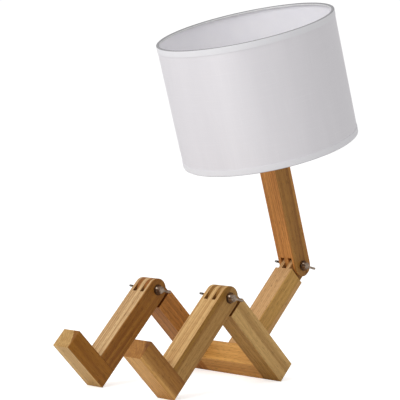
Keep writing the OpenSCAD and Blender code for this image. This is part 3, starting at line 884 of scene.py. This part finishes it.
def join(piece, other):
    """Makes the other object part of the piece."""
    pick(piece)
    other.select_set(True)
    bpy.ops.object.join()


print("threads can be wound")

# %% [markdown]
# ## Wing screws and wing nuts
# These are zinc castings: nothing on them is sharp, the wings grow out of the hub in soft
# throats, and only the thread is cut. A bevel would fail where three thin shapes meet, so
# the merged solid is wrapped in an even net of small faces by a voxel remesh and smoothed a
# few times, which rounds corners and throats alike. That would blur a thread, so the screw's
# free end is a core with a helical ridge.

# %% Casting helpers
VOXEL = 0.28 * MM
SMOOTHINGS = 5
THREAD_CREST = 2.0 * MM
THREAD_ROOT = 1.62 * MM
THREAD_PITCH = 0.7 * MM
THREAD_FROM = 0.3 * MM
THREAD_SHORT = 0.2 * MM
TIP_ROUND = 0.35 * MM


def cast(piece):
    """Rounds a solid all over, as metal cast in a mould is."""
    modify(piece, "REMESH", mode="VOXEL", voxel_size=VOXEL)
    modify(piece, "SMOOTH", factor=0.5, iterations=SMOOTHINGS)
    pick(piece)
    bpy.ops.object.shade_smooth()


def wing_angle(node, pivot):
    """Where the tip of the front wing lies round the pivot."""
    arms = [vertex.co - pivot for vertex in frame["nodes"][node].data.vertices]
    tip = max((arm for arm in arms if arm.y < 0), key=lambda arm: arm.y ** 2 + arm.z ** 2)
    return math.atan2(tip.z, tip.y)


def threaded_end(pivot, start, end):
    """The bare end of a screw between two places along X, threaded to its tip."""
    length = start - end
    middle = (0, 0, length / 2)
    bpy.ops.mesh.primitive_cylinder_add(vertices=32, radius=THREAD_ROOT, depth=length, location=middle)
    core = bpy.context.object
    edit_mesh(core)
    bpy.ops.mesh.select_all(action="DESELECT")
    object_mode()
    for face in core.data.polygons:
        face.select = face.normal.z > 0.9
    bpy.ops.object.mode_set(mode="EDIT")
    bpy.ops.mesh.bevel(offset=TIP_ROUND, segments=2, affect="EDGES")
    object_mode()
    ridge = thread("thread_ridge", THREAD_ROOT, THREAD_CREST, THREAD_PITCH,
                   THREAD_FROM, length - THREAD_SHORT, steps=24)
    join(core, ridge)
    settle(core, Matrix.Translation((start, pivot.y, pivot.z)) @ Matrix.Rotation(-math.pi / 2, 4, "Y"))
    return core


print("a cast piece has faces of", round(VOXEL / MM, 2), "mm")

# %% [markdown]
# ## One screw and one nut, copied twice
# The pair is made at the left knee. The screw's free end is cut off where it leaves the nut,
# and the threaded core takes its place, a little sunk into the casting. Each copy is turned
# until its wings lie as they do in the frame. The nuts are a duller, darker grey than the
# screws.

# %% Wing screws and wing nuts
ROOTED = 0.5 * MM
knee = joint_place["left_knee"]
nut_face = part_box("left_knee_wing_nut")[1].x
screw_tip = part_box("left_knee_wing_screw")[0].x
wing_screw = merged_copy("left_knee_wing_screw", "left_knee_screw")
edit_mesh(wing_screw)
bpy.ops.mesh.bisect(plane_co=(nut_face, 0, 0), plane_no=(1, 0, 0), clear_inner=True, use_fill=True)
object_mode()
cast(wing_screw)
join(wing_screw, threaded_end(knee, nut_face + ROOTED, screw_tip))
wing_nut = merged_copy("left_knee_wing_nut", "left_knee_nut_piece")
cast(wing_nut)
for piece, kind, metal in ((wing_screw, "wing_screw", zinc), (wing_nut, "wing_nut", dull_zinc)):
    smooth_shading(piece, angle=50)
    dress(piece, metal)
    for joint in ("right_knee", "waist"):
        copy = bpy.data.objects.new(f"{joint}_{kind}_piece", piece.data.copy())
        bpy.context.collection.objects.link(copy)
        node = f"{joint}_{kind}"
        turn = wing_angle(node, joint_place[joint]) - wing_angle(f"left_knee_{kind}", knee)
        move = Matrix.Translation(joint_place[joint]) @ Matrix.Rotation(turn, 4, "X")
        settle(copy, move @ Matrix.Translation(-knee))
        stand_for(copy, node)
    stand_for(piece, f"left_knee_{kind}")
    print(piece.name, "has", len(piece.data.polygons), "faces")

# %% [markdown]
# ## The lampholder's skirt
# A shade is held between the lampholder's shoulder and a ring that is turned down its
# threaded skirt. The ridges are what tells this piece from a plain tube. The skirt's wall is
# drawn in to the root of the thread, and the same helper winds the coarse ridge round it.

# %% Threaded skirt
SKIRT_ROOT = 19.3 * MM
SKIRT_CREST = 19.9 * MM
SKIRT_PITCH = 2.8 * MM
SKIRT_MARGIN = 0.5 * MM
SKIRT_EASING = 0.3 * MM
ON_CREST = 0.1 * MM
skirt = merged_copy("lampholder_body", "threaded_skirt")
settle(skirt, TO_NECK)
shoulder_top = span("shade_carrier")[1].z
skirt_top = span("lampholder_body")[1].z
for vertex in skirt.data.vertices:
    radius = Vector(vertex.co.xy).length
    if abs(radius - SKIRT_CREST) < ON_CREST:
        vertex.co.x *= SKIRT_ROOT / radius
        vertex.co.y *= SKIRT_ROOT / radius
ease(skirt, SKIRT_EASING)
ridge = thread("skirt_ridge", SKIRT_ROOT, SKIRT_CREST, SKIRT_PITCH,
               shoulder_top + SKIRT_MARGIN, skirt_top - SKIRT_MARGIN, steps=64)
join(skirt, ridge)
settle(skirt, NECK)
smooth_shading(skirt)
dress(skirt, holder_white)
stand_for(skirt, "lampholder_body")
print("the skirt carries", round((skirt_top - shoulder_top) / SKIRT_PITCH), "turns of thread")

# %% [markdown]
# ## Woven cloth
# Up close, the shade's cloth is a plain weave: each thread runs over one and under the next.
# The group draws that from the flat cut's own UV map, in metres, so it follows the cloth
# round the drum. Two sine waves are the round backs of the threads, a chequer says which
# one lies on top, and stretched noise makes the slubs, the thick places of a linen thread.

# %% Weave node group
# noise clouds per metre: round the drum, up the drum and through the cloth
WEFT_SLUBS = (28, 900, 1)
WARP_SLUBS = (900, 28, 1)
SHADE_CLOUDS = (60, 12, 1)


def build_weave():
    tree, given, out = new_group(
        "Plain weave",
        [("Place", "vector", None), ("Pitch", "float", 0.5 * MM)],
        [("Height", "float"), ("Slubs", "float"), ("Shades", "float")],
    )
    axes = add_node(tree, "ShaderNodeSeparateXYZ", {0: given["Place"]}).outputs
    counts = [calculate(tree, "DIVIDE", axes[i], given["Pitch"]) for i in (0, 1)]
    backs = []
    for count in counts:
        angle = calculate(tree, "MULTIPLY", calculate(tree, "FRACT", count), math.pi)
        backs.append(calculate(tree, "POWER", calculate(tree, "SINE", angle), 0.6))
    cell = calculate(tree, "ADD", *[calculate(tree, "FLOOR", count) for count in counts])
    weft_on_top = calculate(tree, "MODULO", calculate(tree, "ABSOLUTE", cell), 2.0)
    warp, weft = [
        calculate(tree, "MULTIPLY", backs[i], calculate(tree, "MULTIPLY_ADD", backs[1 - i], 0.5, 0.5))
        for i in (0, 1)
    ]
    height = add_node(tree, "ShaderNodeMix", {0: weft_on_top, 2: warp, 3: weft}).outputs[0]
    feed(tree, out["Height"], height)
    along = noise(tree, stretch(tree, given["Place"], WEFT_SLUBS), detail=2.0)
    upright = noise(tree, stretch(tree, given["Place"], WARP_SLUBS), detail=2.0)
    slubs = calculate(tree, "ADD", remap(tree, along, 0.5, 0.75), remap(tree, upright, 0.5, 0.75))
    feed(tree, out["Slubs"], calculate(tree, "MULTIPLY", slubs, 0.5))
    feed(tree, out["Shades"], noise(tree, stretch(tree, given["Place"], SHADE_CLOUDS), detail=2.0))
    return tree


weave = build_weave()
print("weave group has", len(weave.nodes), "nodes")

# %% [markdown]
# ## The sheen of thin threads
# Many thin threads draw out the softbox's reflection into a pale band up the drum, as on
# satin. Anisotropic does that, and a Tangent node tells it which way the cut runs.

# %% Cloth materials
FOLD_EDGE = 0.3 * MM
SHEEN = {"IOR": 1.7, "Anisotropic": 1.0, "Anisotropic Rotation": 0.25}


def woven(name, pale, dark, pitch, relief, roughness, specular, fold=None, fold_tone=None):
    """Laminated cloth, with pitch and relief in mm; from a height of its cut on it may be greyer."""
    material, tree, shader = new_material(name)
    uv = add_node(tree, "ShaderNodeUVMap", uv_map="cut").outputs[0]
    cloth = use_group(tree, weave, {"Place": uv, "Pitch": pitch * MM})
    hollows = calculate(tree, "MULTIPLY", calculate(tree, "SUBTRACT", 1.0, cloth["Height"]), 0.35)
    shades = calculate(tree, "MULTIPLY_ADD", cloth["Shades"], 0.5, hollows)
    tone = blend(tree, calculate(tree, "MULTIPLY_ADD", cloth["Slubs"], -0.25, shades, clamp=True), pale, dark)
    if fold:
        height = add_node(tree, "ShaderNodeSeparateXYZ", {0: uv}).outputs[1]
        tone = blend(tree, remap(tree, height, fold - FOLD_EDGE, fold + FOLD_EDGE), tone, fold_tone)
    feed(tree, shader.inputs["Base Color"], tone)
    adjust(shader, {"Roughness": roughness, "Specular IOR Level": specular, **SHEEN})
    along_cut = add_node(tree, "ShaderNodeTangent", direction_type="UV_MAP", uv_map="cut").outputs[0]
    feed(tree, shader.inputs["Tangent"], along_cut)
    raised = calculate(tree, "MULTIPLY_ADD", cloth["Slubs"], 0.8, cloth["Height"])
    bump(tree, shader, raised, relief * MM, 0.3)
    return material


shade_cloth = woven("shade_cloth", rgb(241, 238, 242), rgb(225, 222, 227),
                    pitch=0.55, relief=0.05, roughness=0.45, specular=0.9)
print("the shade's cloth is", shade_cloth.name)

# %% [markdown]
# ## Rolling up a strip
# A drum shade starts as a flat strip, a little longer than the ring is round. It is rolled up
# and its end is glued over its start. The same is done here: a grid of the cut's size stands
# on edge, its rows are laid along a section, and a Simple Deform bend rolls it up. The end
# is pushed out by the cloth's own thickness, because it lies on the start. The UV map is the
# flat cut in metres, so the weave isn't stretched. Solidify then adds the thickness, inwards.

# %% Strip helper
CLOTH = 0.4 * MM
LAP = 9 * MM
LAP_RAMP = 3 * MM
STEPS_ROUND = 264
SEAM_WELD = 0.01 * MM


def soft_step(value):
    """Rises softly from 0 to 1."""
    value = max(0.0, min(1.0, value))
    return value * value * (3 - 2 * value)


def rolled_strip(name, radius, rows, lap, rise, thickness, from_top=False):
    """A strip whose rows (outward, up) run along a section; rise(place along it) pushes it out."""
    widths = [0.0]
    for (out_a, up_a), (out_b, up_b) in zip(rows, rows[1:]):
        widths.append(widths[-1] + math.hypot(out_b - out_a, up_b - up_a))
    length = math.tau * radius + lap
    last = len(rows) - 1
    bpy.ops.mesh.primitive_grid_add(x_subdivisions=STEPS_ROUND, y_subdivisions=last, size=1, calc_uvs=True)
    strip = bpy.context.object
    strip.name = name
    strip.data.uv_layers[0].name = "cut"
    for corner in strip.data.uv_layers["cut"].data:
        width = widths[round(corner.uv.y * last)]
        corner.uv = (corner.uv.x * length, widths[last] - width if from_top else width)
    for vertex in strip.data.vertices:
        out, up = rows[round((vertex.co.y + 0.5) * last)]
        along = vertex.co.x * length
        pushed = rise(along) * max(0.0, 1 + out / MM)
        vertex.co = (along, -out - pushed, up)
    modify(strip, "SIMPLE_DEFORM", deform_method="BEND", deform_axis="Z", angle=length / radius)
    settle(strip, Matrix.Translation((0, -radius, 0)))
    edit_mesh(strip)
    bpy.ops.mesh.remove_doubles(threshold=SEAM_WELD)
    object_mode()
    modify(strip, "SOLIDIFY", thickness=thickness, offset=-1)
    settle(strip, NECK)
    smooth_shading(strip)
    return strip


print("a lap is", LAP / MM, "mm wide")

# %% [markdown]
# ## The shade's cloth
# The outer cloth is one flat cut, as high as the drum. It has no fold, only the lap, which
# leaves one upright seam at the back where its end steps down by the thickness of the cloth.

# %% Cloth
CLOTH_ROWS = 6
LAP_STEP = 1.05


def cloth_rise(along):
    """The strip's end lies on its start."""
    past = along - (math.pi * cloth_radius - LAP / 2 - LAP_RAMP)
    return soft_step(past / LAP_RAMP) * CLOTH * LAP_STEP


cloth_low, cloth_high = span("shade_fabric")
cloth_radius = cloth_high.x
cloth_height = cloth_high.z - cloth_low.z
rows = [(0.0, cloth_low.z + cloth_height * step / CLOTH_ROWS) for step in range(CLOTH_ROWS + 1)]
cloth = rolled_strip("rolled_shade_cloth", cloth_radius, rows, LAP, cloth_rise, CLOTH)
dress(cloth, shade_cloth)
stand_for(cloth, "shade_fabric")

# %% [markdown]
# ## The edge tapes
# A woven tape hides the raw edge of cloth and backing: it covers a few millimetres of the
# outside, folds over the rim and curls up round the wire behind it. The section is drawn as
# rows from the free edge to the curled one, and the strip helper rolls it up. Over the
# cloth's lap the tape bulges along. From the fold on, the tape is painted greyer than the
# band, which draws a thin grey line along the rim.

# %% Edge tapes
TAPE = 0.35 * MM
TAPE_STEP = 1.1
# from here on the tape is painted grey, a thin line along the rim
FOLD_FROM = 5.6 * MM
FOLD_TONE = rgb(158, 157, 160)
TAPE_SECTION = [
    # (outward, away from the rim) in mm, from the free edge to the curled edge
    (0, 6), (0, 4.4), (0, 2.8), (0, 1.4), (-0.04, 0.7), (-0.2, 0.25), (-0.5, 0.05), (-1.0, 0),
    (-1.8, 0), (-2.4, 0.08), (-2.85, 0.35),
]


def tape_rise(along):
    """The tape follows the step of the cloth's lap behind it."""
    from_seam = math.pi * tape_radius - abs(along)
    return soft_step((LAP / 2 + LAP_RAMP - from_seam) / LAP_RAMP) * CLOTH * TAPE_STEP


tape_cloth = woven("edge_tape", rgb(242, 241, 244), rgb(231, 230, 234),
                   pitch=0.45, relief=0.04, roughness=0.8, specular=0.5,
                   fold=FOLD_FROM, fold_tone=FOLD_TONE)
for node, end, way in (("top_edge_tape", 1, -1), ("bottom_edge_tape", 0, 1)):
    corners = span(node)
    tape_radius = corners[1].x
    rim = corners[end].z
    rows = [(out * MM, rim + way * away * MM) for out, away in TAPE_SECTION]
    if way > 0:
        rows.reverse()
    tape = rolled_strip(node + "_rolled", tape_radius, rows, 0, tape_rise, TAPE, from_top=way > 0)
    dress(tape, tape_cloth)
    stand_for(tape, node)
    print(tape.name, "has", len(tape.data.polygons), "faces")

# %% [markdown]
# ## Measure and finish
# At the end the dressed lamp and the construction's box are measured, and both sizes are
# printed. A dressed piece may round an edge or swell by a cloth's thickness.

# %% Measure and finish
dressed_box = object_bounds()
for name, (low, high) in (("construction", cad_box), ("dressed lamp", dressed_box)):
    sides = [round((high[axis] - low[axis]) / MM, 1) for axis in range(3)]
    print(name, "measures", sides, "mm")
